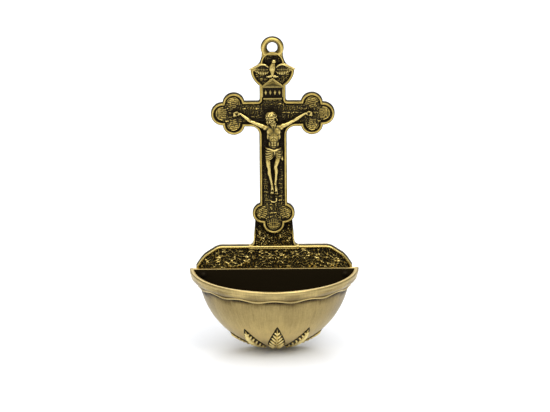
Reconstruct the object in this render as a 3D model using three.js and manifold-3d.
// Wall-hung holy water font in cast metal with an antique brass finish.
// Millimetres, +Z up. The front faces -Y and the wall is the plane y = 0.
// The origin is the wall point behind the centre of the hanging eye.
import * as THREE from 'three';
import { mergeVertices } from 'three/addons/utils/BufferGeometryUtils.js';
import Module from 'manifold-3d';

// Seats and fits
const seatGap = 0.1; // between a relief casting and what carries it
const rivetClearance = 0.15; // round a rivet's shank, on the radius

// Wall plate: shoulders, neck and the apron behind the bowl
const plateThickness = 2.6;
const plateRimWidth = 1.1;
const plateRecess = 0.8;
const shoulderTopZ = -76.24;
const shoulderInset = 2.4; // of the plate's side inside the rim of the bowl
const shoulderKneeInset = 2.2; // of the knee inside the plate's side
const shoulderTopInset = 8.1;
const shoulderKneeDrop = 3.9;
const shoulderSideDrop = 7.6;
const shoulderCornerRadius = 1.6;
const apronDepth = 16.2;
const apronTopDrop = 1.6; // below the rim of the bowl
const neckTopHalf = 6.28;
const neckTaper = 0.088; // growth of the half width for each mm down
const neckRimWidth = 0.62;
const neckRecess = 0.55;
const neckFootFlare = 1.7;
const neckFootHeight = 2.3;
const neckFootLap = 0.8; // where the neck's rim runs on into the shoulders' rim
const neckFootBand = 1.4; // height of the band under the neck
const neckLap = 2.4; // how far the neck reaches above the foot lobes' centres
const neckSeatInset = 0.6; // of the seat inside the edge of the cross's foot

// Cross plate: hanging eye, crest, arms with three-lobed ends, shaft and three-lobed foot
const crossThickness = 2.0;
const crossRimWidth = 1.2;
const crossRecess = 0.85;
const crossSpan = 45.3;
const armDrop = 25.15; // from the eye down to the centre line of the arms
const armHeight = 9.56;
const shaftWidth = 10.04;
const upperShaftWidth = 9.56;
const endLobeRadius = 4.3;
const sideLobeRadius = 4.05;
const sideLobeInset = 8.35; // from the tip of the arm to the side lobes
const sideLobeOffset = 3.9;
const upperFillet = 0.8;
const bracketFillet = 3.1;
const footLobeDrop = 63.2;
const footLobeSpread = 3.87;
const footLobeRadius = 3.85;
const footTipDrop = 3.8; // from the side lobes down to the lowest lobe
const footTipRadius = 4.0;
const eyeRingRadius = 3.08; // centre line of the ring
const eyeSectionRadius = 1.2;
const crestCentreDrop = 7.88;
const crestRadius = 8.05;
const crestCornerRadius = 1.35;
const crestCornerStart = THREE.MathUtils.degToRad(68);
const crestCornerEnd = THREE.MathUtils.degToRad(-10);
const crestNeckHalf = 3.85;
const crestNeckDrop = 1.86;
const crestSweepDrop = 6.58;
const archRadius = 3.97;
const archCentreDrop = 5.71;
const archBeadRadius = 0.5;
const archReach = THREE.MathUtils.degToRad(98); // to each side of the top

// Dove on the crest, upright with spread wings and its head turned to the right
const doveHeadDrop = 4.95;
const doveHeadRadius = 0.85;
const doveHeadShift = 0.3;
const doveBreastHalf = 1.1;
const doveTailDrop = 11.0;
const doveTailSpread = 1.9;
const doveRelief = 1.75;
const wingRootHalf = 1.6;
const wingRootDrop = 7.2;
const wingArchHalf = 3.9;
const wingArchDrop = 5.75;
const wingTipHalf = 8.62;
const wingTipDrop = 8.2;
const wingUnderHalf = 6.0;
const wingUnderDrop = 8.75;
const wingHeelDrop = 9.3;
const wingFeathers = 4;
const wingProud = 0.7; // of the rim of the cross

// Titulus: a plain tablet under a low pediment
const pedimentDrop = 11.3;
const pedimentHeight = 3.5;
const pedimentHalf = 4.5;
const pedimentProud = 0.3; // of the rim of the cross
const pedimentRim = 0.5;
const pedimentRecess = 0.4;
const tabletHeight = 4.7;
const tabletSideGap = 0.15; // to the rims of the shaft on each side
const tabletThickness = 0.3;
const tabletBarHeight = 0.55;
const tabletBarRelief = 0.75;

// Figure: drops are below the arms' centre line
const figureHead = 4.7; // height of the head, the measure for the rest
const figureRelief = 2.6; // of the chest above the ground
const figureHeadDrop = 1.45;
const figureHeadShift = -0.55;
const figureHeadTilt = THREE.MathUtils.degToRad(10);
const figureShoulderDrop = 4.9;
const figureShoulderHalf = 2.55;
const figureWaistDrop = 11.2;
const figureWaistHalf = 1.75;
const figureHipHalf = 2.75;
const figureClothDrop = 12.5;
const figureClothLength = 4.4;
const figureHandReach = 13.1;
const figureElbowReach = 7.8;
const figureElbowDrop = 2.6;
const figureArmHalf = 0.62;
const figureHandHalf = 0.95;
const figureKneeDrop = 20.3;
const figureKneeSpread = 1.1;
const figureAnkleDrop = 26.6;
const figureFootDrop = 31.0;
const figureThighHalf = 1.05;
const figureShinHalf = 0.72;
const figureFootHalf = 0.62;

// Nails through the hands and feet, and the hooked ledge under the feet
const nailHeadRadius = 0.4;
const nailHeadHeight = 0.28;
const nailShankRadius = 0.18;
const nailShankLength = 0.5;
const nailClearance = 0.07;
const ledgeRodRadius = 0.32;
const ledgeHookRadius = 1.03;
const ledgeLength = 1.0;
const ledgeGap = 0.2; // under the feet

// Bowl: half of a deep basin with a flat back wall and a flared lip
const bowlRimZ = -84.5;
const rimRadius = 31.0;
const rimOverhang = 3.1; // of the rim past the basin
const bowlDepth = 29.15;
const bowlWall = 1.3;
const bowlBackWall = 1.2;
const lipWidth = 1.6;
const lipHeight = 1.5;
const lipRound = 0.3;
const lipStep = 1.35; // from the lip in to the flare under it
const flareFoot = 4.9; // below the rim, where the flare meets the basin

// Draped band under the lip
const drapeThickness = 0.7; // over the bowl, just above the bead
const drapeFullness = 0.62; // how far the band swells towards the lip at half its height
const hemDrop = 4.85;
const hemWave = 0.32;
const hemPitch = THREE.MathUtils.degToRad(27);
const hemEndDrop = 2.4; // extra drop where the band meets the wall
const hemEndPower = 6;
const hemBeadRadius = 0.5;

// Palm leaves under the bowl
const leafStep = THREE.MathUtils.degToRad(32);
const leafSideCount = 2;
const leafStemPolar = THREE.MathUtils.degToRad(13);
const leafTipPolar = THREE.MathUtils.degToRad(54);
const leafHalf = 2.75;
const leafRelief = 0.8;
const leafPinnae = 6;
const leafRibHalf = 0.42;
const pinnaHalf = 0.5;
const pinnaSweep = 0.85; // how far a leaflet runs towards the tip for each mm outwards

// Rivets
const rivetRadius = 1.0;
const rivetHeadRadius = 1.5;
const rivetHeadHeight = 0.6;
const rivetRecess = 0.2; // of the closed end behind the wall face
const bowlRivetInset = 5.0; // inside the rim of the bowl
const bowlRivetDrop = 2.3;
const crossRivetSpacing = 4.6;
const crossRivetSocket = 0.55;

// Fineness of the facets
const arcSteps = 5;
const lathSteps = 56;
const basinRows = 10;
const hemSteps = 56;
const limbSides = 8;
const figureSteps = 5;
const beadSides = 8;

// Widths that follow the rim of the bowl
const bowlRadius = rimRadius - rimOverhang;
const bowlRivetHalf = rimRadius - bowlRivetInset;
const shoulderHalf = rimRadius - shoulderInset;
const shoulderKneeHalf = shoulderHalf - shoulderKneeInset;
const shoulderTopHalf = shoulderHalf - shoulderTopInset;

// Levels worked out from the sizes above, as distances forward of the wall
const crossBack = plateThickness;
const crossFront = crossBack + crossThickness;
const crossGround = crossFront - crossRecess;
const bowlBack = plateThickness;
const bowlInside = bowlBack + bowlBackWall;
const figureGround = crossGround + seatGap;
const cutMargin = 1; // how far a cutting body reaches past what it cuts
const sides = [-1, 1];

const wasm = await Module();
wasm.setup();

// Point given by its place across, its distance forward of the wall and its height
function at(x, forward, z) {
  return new THREE.Vector3(x, -forward, z);
}

// Body for the boolean cuts and joins
function bodyOf(geometry) {
  const bare = geometry.clone();
  bare.deleteAttribute('normal');
  bare.deleteAttribute('uv');
  const merged = mergeVertices(bare);
  return new wasm.Manifold(new wasm.Mesh({
    numProp: 3,
    vertProperties: merged.attributes.position.array,
    triVerts: new Uint32Array(merged.index.array),
  }));
}

function geometryOf(body) {
  const mesh = body.getMesh();
  const geometry = new THREE.BufferGeometry();
  geometry.setAttribute('position', new THREE.BufferAttribute(mesh.vertProperties, mesh.numProp));
  geometry.setIndex(new THREE.BufferAttribute(mesh.triVerts, 1));
  return geometry;
}

function joined(bodies) {
  return bodies.reduce((whole, body) => whole.add(body));
}

// Closed surface through rings of equal count; each ring runs anticlockwise seen from the last one
function surfaceThrough(rings, startCap, endCap) {
  const count = rings[0].length;
  const points = rings.flat();
  const triangles = [];
  for (let ring = 0; ring < rings.length - 1; ring += 1) {
    for (let i = 0; i < count; i += 1) {
      const a = ring * count + i;
      const b = ring * count + (i + 1) % count;
      triangles.push(a, b, b + count, a, b + count, a + count);
    }
  }
  startCap.forEach(([a, b, c]) => triangles.push(c, b, a));
  const last = (rings.length - 1) * count;
  endCap.forEach(([a, b, c]) => triangles.push(last + a, last + b, last + c));
  const geometry = new THREE.BufferGeometry().setFromPoints(points);
  geometry.setIndex(triangles);
  return geometry;
}

// Closed skin over convex rings
function loft(rings) {
  const count = rings[0].length;
  const fan = [];
  for (let i = 1; i < count - 1; i += 1) {
    fan.push([0, i, i + 1]);
  }
  return surfaceThrough(rings, fan, fan);
}

function inwardNormal(from, to) {
  return new THREE.Vector2(from.y - to.y, to.x - from.x).normalize();
}

// The anticlockwise outline moved inwards by an even distance
function insetOutline(outline, inset) {
  return outline.map((point, i) => {
    const before = outline[(i + outline.length - 1) % outline.length];
    const after = outline[(i + 1) % outline.length];
    const first = inwardNormal(before, point);
    const second = inwardNormal(point, after);
    const reach = inset / (1 + first.dot(second));
    return point.clone().addScaledVector(first.add(second), reach);
  });
}

// Plate on the level `back`, its edge and rim shaped by steps of [inset, height]
function mouldedPlate(outline, steps, back) {
  const rings = steps.map(([inset, height]) => (
    insetOutline(outline, inset).map((point) => at(point.x, back + height, point.y))
  ));
  const cap = THREE.ShapeUtils.triangulateShape(outline, []);
  const lastCap = THREE.ShapeUtils.triangulateShape(insetOutline(outline, steps.at(-1)[0]), []);
  return surfaceThrough(rings, cap, lastCap);
}

// Rounded rim of a given width round a sunk ground, as steps for mouldedPlate
function rimSteps(thickness, width, recess) {
  return [
    [0, 0],
    [0, thickness - width * 0.42],
    [width * 0.14, thickness - width * 0.16],
    [width * 0.42, thickness],
    [width * 0.72, thickness - width * 0.14],
    [width * 0.92, thickness - recess * 0.62],
    [width, thickness - recess],
  ];
}

// Right half of an outline, listed from the top down, made whole and anticlockwise
function mirroredOutline(half) {
  const tiny = 1e-6;
  const right = half.getPoints(arcSteps).filter((point, i, all) => (
    i === 0 || point.distanceTo(all[i - 1]) > tiny
  ));
  const left = right.map((point) => new THREE.Vector2(-point.x, point.y));
  const upwards = right.filter((point) => point.x > tiny).reverse();
  return [...left, ...upwards];
}

// The crossing of two circles that lies further from the axis
function outerCrossing(first, firstRadius, second, secondRadius) {
  const link = second.clone().sub(first);
  const distance = link.length();
  const along = (firstRadius ** 2 - secondRadius ** 2 + distance ** 2) / (2 * distance);
  const across = Math.sqrt(firstRadius ** 2 - along ** 2);
  const foot = first.clone().addScaledVector(link, along / distance);
  const side = new THREE.Vector2(-link.y, link.x).multiplyScalar(across / distance);
  const choices = [foot.clone().add(side), foot.clone().sub(side)];
  return choices[0].x > choices[1].x ? choices[0] : choices[1];
}

// Lobe drawn clockwise from one point on its circle to another
function addLobe(path, centre, radius, start, end) {
  const from = Math.atan2(start.y - centre.y, start.x - centre.x);
  const to = Math.atan2(end.y - centre.y, end.x - centre.x);
  path.absarc(centre.x, centre.y, radius, from, to, true);
}

// Rod of round section along a curve
function rod(curve, radius, steps) {
  const section = new THREE.Shape().absarc(0, 0, radius, 0, 2 * Math.PI);
  const shape = new THREE.Shape(section.getPoints(beadSides / 2).slice(0, -1));
  return new THREE.ExtrudeGeometry(shape, { steps, extrudePath: curve, bevelEnabled: false });
}

// Straight-sided prism on an outline between two levels forward of the wall
function prism(outline, back, front) {
  return mouldedPlate(outline, [[0, 0], [0, front - back]], back);
}

function rectangle(left, right, bottom, top) {
  return [
    new THREE.Vector2(left, bottom),
    new THREE.Vector2(right, bottom),
    new THREE.Vector2(right, top),
    new THREE.Vector2(left, top),
  ];
}

function disc(x, z, radius) {
  const circle = new THREE.Path().absarc(x, z, radius, 0, 2 * Math.PI);
  return circle.getPoints(arcSteps).slice(0, -1);
}

// Turned piece: the profile's points are [radius, distance forward of the wall]
function turned(profile, x, z, steps) {
  const points = profile.map(([radius, forward]) => new THREE.Vector2(radius, forward));
  const geometry = new THREE.LatheGeometry(points, steps);
  geometry.rotateX(Math.PI);
  geometry.translate(x, 0, z);
  return geometry;
}

// Limb of oval section through stations of { point, wide, deep }
function limb(stations, steps) {
  const path = new THREE.CatmullRomCurve3(stations.map((station) => station.point));
  const girth = new THREE.CatmullRomCurve3(stations.map(({ wide, deep }) => (
    new THREE.Vector3(wide, deep, 0)
  )));
  const rings = [];
  for (let step = 0; step <= steps; step += 1) {
    const share = step / steps;
    const centre = path.getPoint(share);
    const size = girth.getPoint(share);
    const along = path.getTangent(share);
    const across = new THREE.Vector3().crossVectors(at(0, 1, 0), along).normalize();
    const outwards = new THREE.Vector3().crossVectors(along, across);
    const ring = [];
    for (let side = 0; side < limbSides; side += 1) {
      const angle = (2 * Math.PI * side) / limbSides;
      ring.push(centre.clone()
        .addScaledVector(across, size.x * Math.cos(angle))
        .addScaledVector(outwards, size.y * Math.sin(angle)));
    }
    rings.push(ring);
  }
  return loft(rings);
}

const metal = (color, roughness) => new THREE.MeshStandardMaterial({ color, roughness, metalness: 1 });
const brightBrass = metal(0xb59a55, 0.35);
const satinBrass = metal(0xa8935a, 0.42);
const darkBrass = metal(0x5d4d27, 0.55);
const rivetBrass = metal(0x7d6a3a, 0.5);

const font = new THREE.Group();
const crossGroup = new THREE.Group();
const bowlGroup = new THREE.Group();
font.add(crossGroup, bowlGroup);

function addPiece(group, name, geometry, material) {
  const flat = geometry.index ? geometry.toNonIndexed() : geometry;
  flat.computeVertexNormals();
  const mesh = new THREE.Mesh(flat, material);
  mesh.name = name;
  group.add(mesh);
}

// Places that several pieces share
const armZ = -armDrop;
const lobeX = crossSpan / 2 - sideLobeInset;
const endLobeCentre = new THREE.Vector2(crossSpan / 2 - endLobeRadius, armZ);
const footLobeCentre = new THREE.Vector2(footLobeSpread, -footLobeDrop);
const footTipCentre = new THREE.Vector2(0, -footLobeDrop - footTipDrop);
const crossRivetZ = [footLobeCentre.y, footLobeCentre.y - crossRivetSpacing];
const bowlRivetZ = bowlRimZ - bowlRivetDrop;

function crossOutline() {
  const half = new THREE.Path();
  const upperHalf = upperShaftWidth / 2;
  const shaftHalf = shaftWidth / 2;
  const armTop = armZ + armHeight / 2;
  const armBottom = armZ - armHeight / 2;
  const crestEnd = Math.acos(upperHalf / crestRadius);
  const cornerReach = crestRadius - crestCornerRadius;
  const cornerX = cornerReach * Math.cos(crestCornerEnd);
  const cornerZ = cornerReach * Math.sin(crestCornerEnd) - crestCentreDrop;
  const sweepX = cornerX + crestCornerRadius * Math.cos(crestCornerStart);
  const sweepZ = cornerZ + crestCornerRadius * Math.sin(crestCornerStart);
  half.moveTo(crestNeckHalf, -crestNeckDrop);
  half.quadraticCurveTo(crestNeckHalf, -crestSweepDrop, sweepX, sweepZ);
  half.absarc(cornerX, cornerZ, crestCornerRadius, crestCornerStart, crestCornerEnd, true);
  half.absarc(0, -crestCentreDrop, crestRadius, crestCornerEnd, -crestEnd, true);
  half.lineTo(upperHalf, armTop + upperFillet);
  half.quadraticCurveTo(upperHalf, armTop, upperHalf + upperFillet, armTop);

  const upperLobe = new THREE.Vector2(lobeX, armZ + sideLobeOffset);
  const lowerLobe = new THREE.Vector2(lobeX, armZ - sideLobeOffset);
  const armRise = armHeight / 2 - sideLobeOffset;
  const lobeReach = Math.sqrt(sideLobeRadius ** 2 - armRise ** 2);
  const upperNotch = outerCrossing(upperLobe, sideLobeRadius, endLobeCentre, endLobeRadius);
  const lowerNotch = outerCrossing(lowerLobe, sideLobeRadius, endLobeCentre, endLobeRadius);
  addLobe(half, upperLobe, sideLobeRadius, new THREE.Vector2(lobeX - lobeReach, armTop), upperNotch);
  addLobe(half, endLobeCentre, endLobeRadius, upperNotch, lowerNotch);
  addLobe(half, lowerLobe, sideLobeRadius, lowerNotch, new THREE.Vector2(lobeX - lobeReach, armBottom));

  const bracketX = shaftHalf + bracketFillet;
  const bracketZ = armBottom - bracketFillet;
  half.lineTo(bracketX, armBottom);
  half.absarc(bracketX, bracketZ, bracketFillet, Math.PI / 2, Math.PI, false);

  const lobeTop = Math.sqrt(footLobeRadius ** 2 - (shaftHalf - footLobeSpread) ** 2);
  const lobeStart = new THREE.Vector2(shaftHalf, footLobeCentre.y + lobeTop);
  const footNotch = outerCrossing(footLobeCentre, footLobeRadius, footTipCentre, footTipRadius);
  const footEnd = new THREE.Vector2(0, footTipCentre.y - footTipRadius);
  addLobe(half, footLobeCentre, footLobeRadius, lobeStart, footNotch);
  addLobe(half, footTipCentre, footTipRadius, footNotch, footEnd);
  return mirroredOutline(half);
}

const crossEdge = crossOutline();
const crossSteps = rimSteps(crossThickness, crossRimWidth, crossRecess);

// Space that the relief castings on the cross keep out of
function crossKeepOut() {
  const steps = crossSteps.map(([inset, height]) => {
    const inner = inset > crossRimWidth / 2 ? inset + seatGap / 2 : inset - seatGap;
    return [inner, height + seatGap + crossBack];
  });
  steps[0][1] = 0;
  return bodyOf(mouldedPlate(crossEdge, steps, 0));
}

function archRod(radius) {
  const points = [];
  const steps = 4 * arcSteps;
  for (let step = 0; step <= steps; step += 1) {
    const angle = archReach * (1 - (2 * step) / steps);
    const z = archRadius * Math.cos(angle) - archCentreDrop;
    points.push(at(archRadius * Math.sin(angle), crossFront - archBeadRadius, z));
  }
  return bodyOf(rod(new THREE.CatmullRomCurve3(points), radius, 3 * arcSteps));
}

function eyeRing() {
  const profile = [];
  for (let side = 0; side <= beadSides; side += 1) {
    const angle = (2 * Math.PI * side) / beadSides;
    const radius = eyeRingRadius + eyeSectionRadius * Math.cos(angle);
    profile.push([radius, crossBack + eyeSectionRadius * (1 + Math.sin(angle))]);
  }
  return turned(profile, 0, 0, 5 * arcSteps);
}

function bore(x, z, radius, back, front) {
  return bodyOf(prism(disc(x, z, radius), back, front));
}

function makeCrossPlate() {
  const plate = bodyOf(mouldedPlate(crossEdge, crossSteps, crossBack));
  const sockets = joined(crossRivetZ.map((z) => (
    bore(0, z, rivetRadius + rivetClearance, crossBack - cutMargin, crossBack + crossRivetSocket)
  )));
  return geometryOf(joined([plate, archRod(archBeadRadius), bodyOf(eyeRing())]).subtract(sockets));
}

// Wall plate: shoulders with a sunk ground, a tapered neck and a plain apron behind the bowl
function shoulderOutline() {
  const half = new THREE.Path();
  const kneeZ = shoulderTopZ - shoulderKneeDrop;
  const sideZ = shoulderTopZ - shoulderSideDrop;
  const flank = new THREE.Vector2(shoulderKneeHalf - shoulderTopHalf, -shoulderKneeDrop).normalize();
  const start = flank.clone().multiplyScalar(shoulderCornerRadius);
  half.moveTo(shoulderTopHalf - shoulderCornerRadius, shoulderTopZ);
  half.quadraticCurveTo(
    shoulderTopHalf, shoulderTopZ,
    shoulderTopHalf + start.x, shoulderTopZ + start.y,
  );
  half.lineTo(shoulderKneeHalf - start.x, kneeZ - start.y);
  half.quadraticCurveTo(shoulderKneeHalf, kneeZ, shoulderHalf, sideZ);
  half.lineTo(shoulderHalf, bowlRimZ - apronTopDrop);
  return mirroredOutline(half);
}

function neckOutline() {
  const half = new THREE.Path();
  const topZ = footLobeCentre.y + neckLap;
  const footZ = shoulderTopZ + neckFootHeight;
  const footHalf = neckTopHalf + neckTaper * (topZ - footZ);
  half.moveTo(neckTopHalf, topZ);
  half.lineTo(footHalf, footZ);
  half.quadraticCurveTo(footHalf + neckTaper, shoulderTopZ, footHalf + neckFootFlare, shoulderTopZ);
  half.lineTo(footHalf + neckFootFlare + neckFootLap, shoulderTopZ);
  half.lineTo(footHalf + neckFootFlare + neckFootLap, shoulderTopZ - neckFootBand);
  return mirroredOutline(half);
}

function apronOutline() {
  const half = new THREE.Path();
  const topZ = bowlRimZ - apronTopDrop + plateRimWidth;
  const springZ = bowlRimZ - apronTopDrop;
  half.moveTo(shoulderHalf, topZ);
  half.lineTo(shoulderHalf, springZ);
  half.absellipse(0, springZ, shoulderHalf, apronDepth, 0, -Math.PI / 2, true);
  return mirroredOutline(half);
}

// Flat seat on the neck that the foot of the cross lies on
function neckSeat() {
  const tip = prism(disc(0, footTipCentre.y, footTipRadius - neckSeatInset), 0, plateThickness);
  const topZ = footLobeCentre.y + neckLap - neckRimWidth;
  const pad = rectangle(-footLobeSpread, footLobeSpread, footTipCentre.y, topZ);
  return bodyOf(tip).add(bodyOf(prism(pad, 0, plateThickness)));
}

function makeWallPlate() {
  const steps = rimSteps(plateThickness, plateRimWidth, plateRecess);
  const shoulders = bodyOf(mouldedPlate(shoulderOutline(), steps, 0));
  const neckSteps = rimSteps(plateThickness, neckRimWidth, neckRecess);
  const neck = bodyOf(mouldedPlate(neckOutline(), neckSteps, 0));
  const apron = bodyOf(prism(apronOutline(), 0, plateThickness));
  const reach = [-cutMargin, plateThickness + cutMargin];
  const bores = joined([
    ...crossRivetZ.map((z) => bore(0, z, rivetRadius + rivetClearance, ...reach)),
    ...sides.map((side) => bore(side * bowlRivetHalf, bowlRivetZ, rivetRadius + rivetClearance, ...reach)),
  ]);
  return geometryOf(joined([shoulders, neck, apron, neckSeat()]).subtract(bores));
}

// Bowl
function basinPoint(radius, depth, drop) {
  return [radius * Math.sqrt(Math.max(0, 1 - (drop / depth) ** 2)), bowlRimZ - drop];
}

function basinProfile(radius, depth, topDrop) {
  const start = Math.asin(topDrop / depth);
  const points = [];
  for (let step = 0; step < basinRows; step += 1) {
    const angle = start + ((Math.PI / 2 - start) * step) / basinRows;
    points.push(basinPoint(radius, depth, depth * Math.sin(angle)));
  }
  points.push([0, bowlRimZ - depth]);
  return points;
}

// Solid of revolution round the upright line where the bowl meets its wall
function revolved(profile) {
  const points = profile.map(([radius, z]) => new THREE.Vector2(radius, z)).reverse();
  const geometry = new THREE.LatheGeometry(points, lathSteps);
  geometry.rotateX(Math.PI / 2);
  geometry.translate(0, -bowlBack, 0);
  return bodyOf(geometry);
}

const bowlFlareTop = rimRadius - lipStep;

// Outer form of the bowl, grown by a gap where another piece has to clear it
function bowlOutside(grow) {
  const under = bowlRimZ - lipHeight - grow;
  return revolved([
    [0, bowlRimZ + grow],
    [rimRadius + grow - lipRound, bowlRimZ + grow],
    [rimRadius + grow, bowlRimZ + grow - lipRound],
    [rimRadius + grow, under + lipRound],
    [rimRadius + grow - lipRound, under],
    [bowlFlareTop + grow, under],
    ...basinProfile(bowlRadius + grow, bowlDepth + grow, flareFoot),
  ]);
}

function bowlHollow() {
  const inner = rimRadius - lipWidth;
  return revolved([
    [0, bowlRimZ + cutMargin],
    [inner, bowlRimZ + cutMargin],
    [inner, bowlRimZ - lipHeight / 2],
    ...basinProfile(bowlRadius - bowlWall, bowlDepth - bowlWall, flareFoot),
  ]);
}

// Everything that lies further forward of the wall than a level
function spaceBeyond(forward) {
  const half = 2 * rimRadius;
  const outline = rectangle(-half, half, bowlRimZ - half, bowlRimZ + half);
  return bodyOf(prism(outline, forward, forward + half));
}

function makeBowl() {
  const outside = bowlOutside(0).intersect(spaceBeyond(bowlBack));
  const hollow = bowlHollow().intersect(spaceBeyond(bowlInside));
  const reach = [bowlBack - cutMargin, bowlInside + cutMargin];
  const bores = joined(sides.map((side) => (
    bore(side * bowlRivetHalf, bowlRivetZ, rivetRadius + rivetClearance, ...reach)
  )));
  return geometryOf(outside.subtract(hollow).subtract(bores));
}

// Draped band: its hem rises and falls in even waves and drops towards the wall
function hemDropAt(angle) {
  const wave = hemWave * Math.cos((2 * Math.PI * angle) / hemPitch);
  const towardsWall = Math.abs(angle) / (Math.PI / 2);
  return hemDrop - wave + hemEndDrop * towardsWall ** hemEndPower;
}

// Radius of the bowl's outer side at a drop below the rim
function bowlRadiusAt(drop) {
  if (drop >= flareFoot) {
    return basinPoint(bowlRadius, bowlDepth, drop)[0];
  }
  const foot = basinPoint(bowlRadius, bowlDepth, flareFoot)[0];
  return THREE.MathUtils.mapLinear(drop, lipHeight, flareFoot, bowlFlareTop, foot);
}

// Section of the band, from the bead at its hem up to the lip; its inner side is cut by the bowl
function drapeSection(drop) {
  const bead = 2 * hemBeadRadius;
  const hem = bowlRadiusAt(drop);
  const waist = bowlRadiusAt(drop - bead) + drapeThickness;
  const top = rimRadius - lipRound;
  const fall = drop - lipHeight;
  const swell = (share) => THREE.MathUtils.lerp(waist, top, share);
  return [
    [hem, bowlRimZ - drop],
    [hem + hemBeadRadius, bowlRimZ - drop - hemBeadRadius / 2],
    [hem + bead, bowlRimZ - drop],
    [hem + bead, bowlRimZ - drop + hemBeadRadius],
    [waist, bowlRimZ - drop + bead],
    [swell(drapeFullness), bowlRimZ - lipHeight - fall * 0.5],
    [swell((1 + drapeFullness) / 2), bowlRimZ - lipHeight - fall * 0.25],
    [top, bowlRimZ - lipHeight],
    [bowlFlareTop - drapeThickness, bowlRimZ - lipHeight],
    [hem - drapeThickness, bowlRimZ - lipHeight - fall * 0.6],
    [hem - drapeThickness, bowlRimZ - drop],
  ];
}

function makeRimDrape() {
  const rings = [];
  for (let step = 0; step <= hemSteps; step += 1) {
    const angle = Math.PI / 2 - (Math.PI * step) / hemSteps;
    rings.push(drapeSection(hemDropAt(angle)).map(([radius, z]) => (
      at(radius * Math.sin(angle), bowlBack + radius * Math.cos(angle), z)
    )));
  }
  const band = surfaceThrough(rings, ...sectionCaps(drapeSection(hemDropAt(Math.PI / 2))));
  return geometryOf(bodyOf(band).subtract(bowlOutside(seatGap)));
}

function sectionCaps(section) {
  const flat = section.map(([radius, z]) => new THREE.Vector2(radius, z));
  const cap = THREE.ShapeUtils.triangulateShape(flat, []);
  return [cap, cap];
}

// Palm leaves: points are given along the leaf, across it and above the bowl
function leafPoint(polar, across, lift, turn) {
  const raw = new THREE.Vector3(across, bowlRadius * Math.sin(polar), -bowlDepth * Math.cos(polar));
  const scale = Math.hypot(raw.x / bowlRadius, raw.y / bowlRadius, raw.z / bowlDepth);
  raw.divideScalar(scale);
  const normal = new THREE.Vector3(
    raw.x / bowlRadius ** 2,
    raw.y / bowlRadius ** 2,
    raw.z / bowlDepth ** 2,
  ).normalize();
  raw.addScaledVector(normal, lift);
  const x = raw.x * Math.cos(turn) + raw.y * Math.sin(turn);
  const forward = raw.y * Math.cos(turn) - raw.x * Math.sin(turn);
  return at(x, bowlBack + forward, bowlRimZ + raw.z);
}

// Blade of three-sided section from one place on the leaf to another
function leafBlade(stations, turn) {
  const rings = stations.map(({ polar, across, along, wide, lift }) => {
    const sideways = new THREE.Vector2(-along.y, along.x).normalize();
    const edge = (share, height) => leafPoint(
      polar + (sideways.x * wide * share) / bowlRadius,
      across + sideways.y * wide * share,
      height,
      turn,
    );
    return [edge(1, 0), edge(-1, 0), edge(0, lift)];
  });
  return bodyOf(loft(rings));
}

function makePalmLeaf(turn) {
  const length = leafTipPolar - leafStemPolar;
  const straight = new THREE.Vector2(1, 0);
  const ribStations = [0, 0.35, 0.7, 1].map((share) => ({
    polar: leafStemPolar + length * share,
    across: 0,
    along: straight,
    wide: leafRibHalf * (1.1 - share * 0.75),
    lift: seatGap + leafRelief * (1 - share * 0.35),
  }));
  const blades = [leafBlade(ribStations, turn)];
  for (let pair = 0; pair < leafPinnae; pair += 1) {
    const share = (pair + 0.6) / (leafPinnae + 0.8);
    const width = leafHalf * Math.sin(Math.PI * (0.22 + 0.72 * share)) ** 0.8;
    const root = leafStemPolar + length * share * 0.86;
    sides.forEach((side) => {
      const reach = (width * pinnaSweep) / bowlRadius;
      const along = new THREE.Vector2(pinnaSweep, side);
      blades.push(leafBlade([0, 1].map((part) => ({
        polar: root + reach * part,
        across: side * width * part,
        along,
        wide: pinnaHalf * (1 - 0.55 * part),
        lift: seatGap + leafRelief * (0.85 - 0.3 * part),
      })), turn));
    });
  }
  return geometryOf(joined(blades).subtract(bowlOutside(seatGap)));
}

// Rivets: a domed head, a shank and a plain closed end
function rivetProfile(back, head, headHeight) {
  return [
    [0, back],
    [rivetRadius, back],
    [rivetRadius, head],
    [rivetHeadRadius, head],
    [rivetHeadRadius * 0.86, head + headHeight * 0.6],
    [rivetHeadRadius * 0.5, head + headHeight * 0.92],
    [0, head + headHeight],
  ];
}

function makeBowlRivet(side) {
  const profile = rivetProfile(rivetRecess, bowlInside + seatGap, rivetHeadHeight);
  return turned(profile, side * bowlRivetHalf, bowlRivetZ, 2 * beadSides);
}

function makeCrossRivet(z) {
  const end = crossBack + crossRivetSocket - rivetClearance;
  const profile = [[0, rivetRecess], [rivetRadius, rivetRecess], [rivetRadius, end], [0, end]];
  return turned(profile, 0, z, 2 * beadSides);
}

// Dove
function egg(centre, half, deep, tall, tilt) {
  const geometry = new THREE.SphereGeometry(1, limbSides, limbSides - 2);
  geometry.rotateX(Math.PI / 2);
  geometry.scale(half, deep, tall);
  geometry.rotateY(tilt);
  geometry.translate(centre.x, centre.y, centre.z);
  return bodyOf(geometry);
}

function wingOutline() {
  const wing = new THREE.Path();
  wing.moveTo(wingRootHalf, -wingHeelDrop);
  const scallop = (wingUnderHalf - wingRootHalf) / wingFeathers;
  for (let feather = 0; feather < wingFeathers; feather += 1) {
    const share = (feather + 1) / wingFeathers;
    const x = wingRootHalf + scallop * (feather + 1);
    const z = -THREE.MathUtils.lerp(wingHeelDrop, wingUnderDrop, share ** 2);
    wing.quadraticCurveTo(x - scallop * 0.35, z - scallop * 0.75, x, z);
  }
  wing.quadraticCurveTo(wingTipHalf * 0.85, -wingUnderDrop, wingTipHalf, -wingTipDrop);
  wing.quadraticCurveTo(wingUnderHalf, -wingArchDrop * 1.15, wingArchHalf, -wingArchDrop);
  wing.quadraticCurveTo(wingRootHalf, -wingArchDrop, wingRootHalf, -wingRootDrop);
  return wing.getPoints(2);
}

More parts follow.
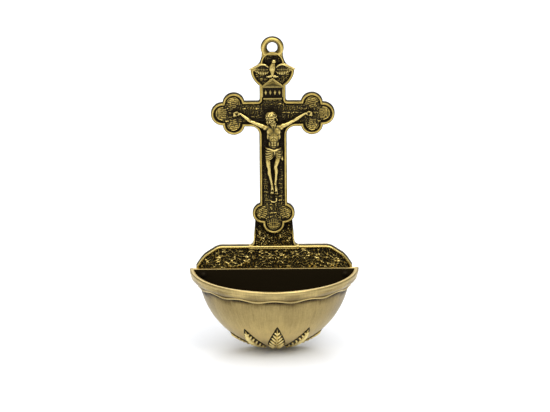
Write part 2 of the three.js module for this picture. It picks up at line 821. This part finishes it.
function makeDove() {
  const mid = crossGround + doveRelief / 2;
  const length = doveTailDrop - doveHeadDrop;
  const station = (shift, share, wide, deep) => (
    { point: at(shift, mid, -doveHeadDrop - length * share), wide, deep: doveRelief * deep }
  );
  const body = bodyOf(limb([
    station(doveHeadShift, 0, doveHeadRadius * 0.7, 0.45),
    station(doveHeadShift / 3, 0.2, doveHeadRadius * 0.72, 0.5),
    station(0, 0.42, doveBreastHalf, 0.6),
    station(0, 0.67, doveBreastHalf * 0.7, 0.5),
    station(0, 0.87, doveBreastHalf * 0.3, 0.35),
  ], figureSteps));
  const headLevel = crossGround + doveRelief - doveHeadRadius;
  const head = egg(at(doveHeadShift, headLevel, -doveHeadDrop), doveHeadRadius, doveHeadRadius,
    doveHeadRadius, 0);
  const tail = [-1, 0, 1].map((ray) => bodyOf(limb([
    station(0, 0.75, doveBreastHalf * 0.23, 0.29),
    station(ray * doveTailSpread, 1, doveBreastHalf * 0.3, 0.29),
  ], 2)));
  const wing = wingOutline();
  const mirrored = wing.map((point) => new THREE.Vector2(-point.x, point.y)).reverse();
  const wings = [wing, mirrored].map((outline) => (
    bodyOf(prism(outline, crossGround, crossFront + wingProud))
  ));
  const linkHalf = wingRootHalf + doveBreastHalf * 0.2;
  const link = bodyOf(prism(rectangle(-linkHalf, linkHalf, -wingHeelDrop, -wingRootDrop), crossGround, mid));
  const whole = joined([body, head, ...tail, ...wings, link]);
  return geometryOf(whole.subtract(crossKeepOut()).subtract(archRod(archBeadRadius + seatGap)));
}

// Titulus
function makeTitulus() {
  const baseZ = -pedimentDrop - pedimentHeight;
  const gable = [
    new THREE.Vector2(-pedimentHalf, baseZ),
    new THREE.Vector2(pedimentHalf, baseZ),
    new THREE.Vector2(0, -pedimentDrop),
  ];
  const proud = crossFront + pedimentProud;
  const pediment = bodyOf(mouldedPlate(gable, [
    [0, 0],
    [0, proud - crossGround],
    [pedimentRim, proud - crossGround],
    [pedimentRim, proud - crossGround - pedimentRecess],
  ], crossGround));
  const half = upperShaftWidth / 2 - crossRimWidth - tabletSideGap;
  const bottom = baseZ - tabletHeight;
  const face = rectangle(-half, half, bottom, baseZ + tabletBarHeight);
  const bar = rectangle(-half, half, bottom, bottom + tabletBarHeight);
  const tablet = bodyOf(prism(face, crossGround, figureGround + tabletThickness));
  const raisedBar = bodyOf(prism(bar, crossGround, figureGround + tabletBarRelief));
  return geometryOf(joined([pediment, tablet, raisedBar]).subtract(crossKeepOut()));
}

// Figure
const figureLevel = (share) => crossGround + figureRelief * share;
const handPoints = sides.map((side) => at(side * figureHandReach, figureLevel(0.36), armZ));
const footPoints = [
  at(-figureFootHalf * 0.65, figureLevel(0.45), armZ - figureFootDrop + figureHead * 0.4),
  at(figureFootHalf * 1.6, figureLevel(0.36), armZ - figureFootDrop + figureHead * 0.28),
];

function figureTorso() {
  const station = (shift, drop, wide, share) => ({
    point: at(shift * figureHead, figureLevel(share * 0.55), armZ - drop),
    wide,
    deep: figureRelief * share * 0.5,
  });
  return bodyOf(limb([
    station(-0.03, figureShoulderDrop - figureHead * 0.38, figureHead * 0.18, 0.8),
    station(0, figureShoulderDrop - figureHead * 0.06, figureShoulderHalf * 0.8, 0.85),
    station(0, figureShoulderDrop + figureHead * 0.28, figureShoulderHalf, 1.1),
    station(0.02, figureShoulderDrop + figureHead * 0.72, figureShoulderHalf * 0.88, 1.05),
    station(0.04, figureWaistDrop, figureWaistHalf, 0.85),
    station(0, figureClothDrop + figureClothLength * 0.22, figureHipHalf * 0.85, 0.95),
    station(0, figureClothDrop + figureClothLength * 0.86, figureHipHalf * 0.6, 0.8),
  ], 2 * figureSteps));
}

function figureCloth() {
  const station = (share, wide, deep) => ({
    point: at(0, figureLevel(0.5), armZ - figureClothDrop - figureClothLength * share),
    wide: figureHipHalf * wide,
    deep: figureRelief * deep,
  });
  return bodyOf(limb([
    station(0, 0.86, 0.46),
    station(0.35, 1.02, 0.56),
    station(0.75, 1.0, 0.54),
    station(1, 0.88, 0.46),
  ], figureSteps));
}

function figureArm(side) {
  const station = (reach, drop, wide, share) => (
    { point: at(side * reach, figureLevel(share), armZ - drop), wide, deep: wide }
  );
  const hand = figureHandHalf;
  const midReach = (figureShoulderHalf + figureElbowReach) / 2;
  const foreReach = (figureElbowReach + figureHandReach) / 2;
  const midDrop = (figureShoulderDrop + figureElbowDrop) / 2;
  const arm = limb([
    station(figureShoulderHalf * 0.5, figureShoulderDrop + figureArmHalf, figureArmHalf * 1.3, 0.42),
    station(figureShoulderHalf * 1.2, figureShoulderDrop - figureArmHalf / 2, figureArmHalf * 1.25, 0.46),
    station(midReach, midDrop, figureArmHalf, 0.42),
    station(figureElbowReach, figureElbowDrop, figureArmHalf * 0.9, 0.36),
    station(foreReach, figureElbowDrop * 0.56, figureArmHalf * 1.02, 0.34),
    station(figureHandReach - hand, hand * 0.2, figureArmHalf * 0.7, 0.3),
    station(figureHandReach - hand * 0.3, 0, figureArmHalf * 0.6, 0.28),
  ], 2 * figureSteps);
  const palm = egg(at(side * figureHandReach, figureLevel(0.26), armZ), hand * 1.1, hand * 0.62, hand, 0);
  const fingers = limb([
    station(figureHandReach + hand * 0.3, -hand * 0.25, hand * 0.6, 0.3),
    station(figureHandReach + hand * 1.4, -hand * 0.1, hand * 0.45, 0.4),
    station(figureHandReach + hand * 1.55, hand * 0.35, hand * 0.3, 0.5),
  ], figureSteps);
  return joined([bodyOf(arm), palm, bodyOf(fingers)]);
}

// Leg given by its knee's and ankle's places across, its foot and the relief of its knee
function figureLeg(side, knee, ankle, foot, rise) {
  const station = (x, drop, wide, share) => (
    { point: at(x, figureLevel(share), armZ - drop), wide, deep: wide * 0.95 }
  );
  const hipDrop = figureClothDrop + figureClothLength * 0.68;
  const calfDrop = figureKneeDrop + figureHead * 0.5;
  return bodyOf(limb([
    station(side * figureThighHalf * 1.25, hipDrop, figureThighHalf * 1.15, 0.46),
    station(side * figureThighHalf * 1.5, hipDrop + figureHead * 0.5, figureThighHalf, rise * 0.86),
    station(knee, figureKneeDrop, figureShinHalf * 1.12, rise),
    station((knee * 2 + ankle) / 3, calfDrop, figureShinHalf * 1.08, rise * 0.8),
    station(ankle, figureAnkleDrop, figureShinHalf * 0.62, rise * 0.65),
    { point: foot, wide: figureFootHalf, deep: figureFootHalf },
    station(foot.x, figureFootDrop - figureFootHalf * 0.2, figureFootHalf * 0.95, rise * 0.55),
  ], 3 * figureSteps));
}

function figureHeadAndHair() {
  const place = (shift, rise, share) => at(
    figureHeadShift + figureHead * shift,
    figureLevel(share),
    armZ - figureHeadDrop + figureHead * rise,
  );
  const oval = (centre, wide) => (
    egg(centre, figureHead * wide, figureRelief * 0.5, figureHead * 0.5, -figureHeadTilt)
  );
  const lockSize = { wide: figureHead * 0.1, deep: figureRelief * 0.3 };
  const lock = bodyOf(limb([
    { point: place(-0.33, 0, 0.4), ...lockSize },
    { point: place(-0.3, -0.55, 0.38), ...lockSize },
  ], figureSteps));
  return joined([oval(place(0, -0.06, 0.62), 0.33), oval(place(0.02, 0.1, 0.42), 0.47), lock]);
}

// Level of a nail's head over the hand or foot that it holds
function nailSeat(point) {
  const flesh = Math.abs(point.x) > figureElbowReach ? figureHandHalf * 0.45 : figureFootHalf;
  return flesh - point.y;
}

function nailBore(point) {
  const back = nailSeat(point) - nailShankLength - nailClearance;
  return bore(point.x, point.z, nailShankRadius + nailClearance, back, back + figureRelief);
}

function makeFigure() {
  const { x: leftFootX } = footPoints[0];
  const { x: rightFootX } = footPoints[1];
  const parts = [
    figureCloth(),
    figureHeadAndHair(),
    ...sides.map(figureArm),
    figureLeg(-1, -figureKneeSpread * 1.3, leftFootX, footPoints[0], 0.56),
    figureLeg(1, figureKneeSpread * 0.75, rightFootX * 0.7, footPoints[1], 0.66),
  ];
  const bores = joined([...handPoints, ...footPoints].map(nailBore));
  return geometryOf(joined([figureTorso(), ...parts]).subtract(crossKeepOut()).subtract(bores));
}

function makeNail(point) {
  const seat = nailSeat(point) + nailClearance;
  const profile = [
    [0, seat - nailShankLength],
    [nailShankRadius, seat - nailShankLength],
    [nailShankRadius, seat],
    [nailHeadRadius, seat],
    [nailHeadRadius * 0.7, seat + nailHeadHeight * 0.7],
    [0, seat + nailHeadHeight],
  ];
  return turned(profile, point.x, point.z, beadSides);
}

// Ledge under the feet, a short rod that ends in a hook
function makeFootLedge() {
  const level = figureGround + ledgeRodRadius;
  const top = armZ - figureFootDrop - figureFootHalf - ledgeGap;
  const points = [at(ledgeHookRadius, level, top), at(ledgeHookRadius, level, top - ledgeLength * 0.6)];
  for (let step = 0; step <= arcSteps; step += 1) {
    const angle = (-Math.PI * 1.08 * step) / arcSteps;
    points.push(at(
      ledgeHookRadius * Math.cos(angle),
      level,
      top - ledgeLength + ledgeHookRadius * Math.sin(angle),
    ));
  }
  return rod(new THREE.CatmullRomCurve3(points), ledgeRodRadius, 3 * arcSteps);
}

addPiece(font, 'wall_plate', makeWallPlate(), brightBrass);
addPiece(crossGroup, 'cross_plate', makeCrossPlate(), brightBrass);
crossRivetZ.forEach((z, i) => {
  addPiece(crossGroup, `cross_rivet_${i + 1}`, makeCrossRivet(z), rivetBrass);
});
addPiece(crossGroup, 'dove', makeDove(), brightBrass);
addPiece(crossGroup, 'titulus', makeTitulus(), brightBrass);
addPiece(crossGroup, 'corpus', makeFigure(), brightBrass);
addPiece(crossGroup, 'foot_ledge', makeFootLedge(), brightBrass);
['hand_nail_left', 'hand_nail_right'].forEach((name, i) => {
  addPiece(crossGroup, name, makeNail(handPoints[i]), darkBrass);
});
['foot_nail_left', 'foot_nail_right'].forEach((name, i) => {
  addPiece(crossGroup, name, makeNail(footPoints[i]), darkBrass);
});
addPiece(bowlGroup, 'bowl', makeBowl(), satinBrass);
addPiece(bowlGroup, 'rim_drape', makeRimDrape(), satinBrass);
addPiece(bowlGroup, 'bowl_rivet_left', makeBowlRivet(-1), rivetBrass);
addPiece(bowlGroup, 'bowl_rivet_right', makeBowlRivet(1), rivetBrass);
for (let step = -leafSideCount; step <= leafSideCount; step += 1) {
  const name = `palm_leaf_${step + leafSideCount + 1}`;
  addPiece(bowlGroup, name, makePalmLeaf(step * leafStep), brightBrass);
}

export default font;
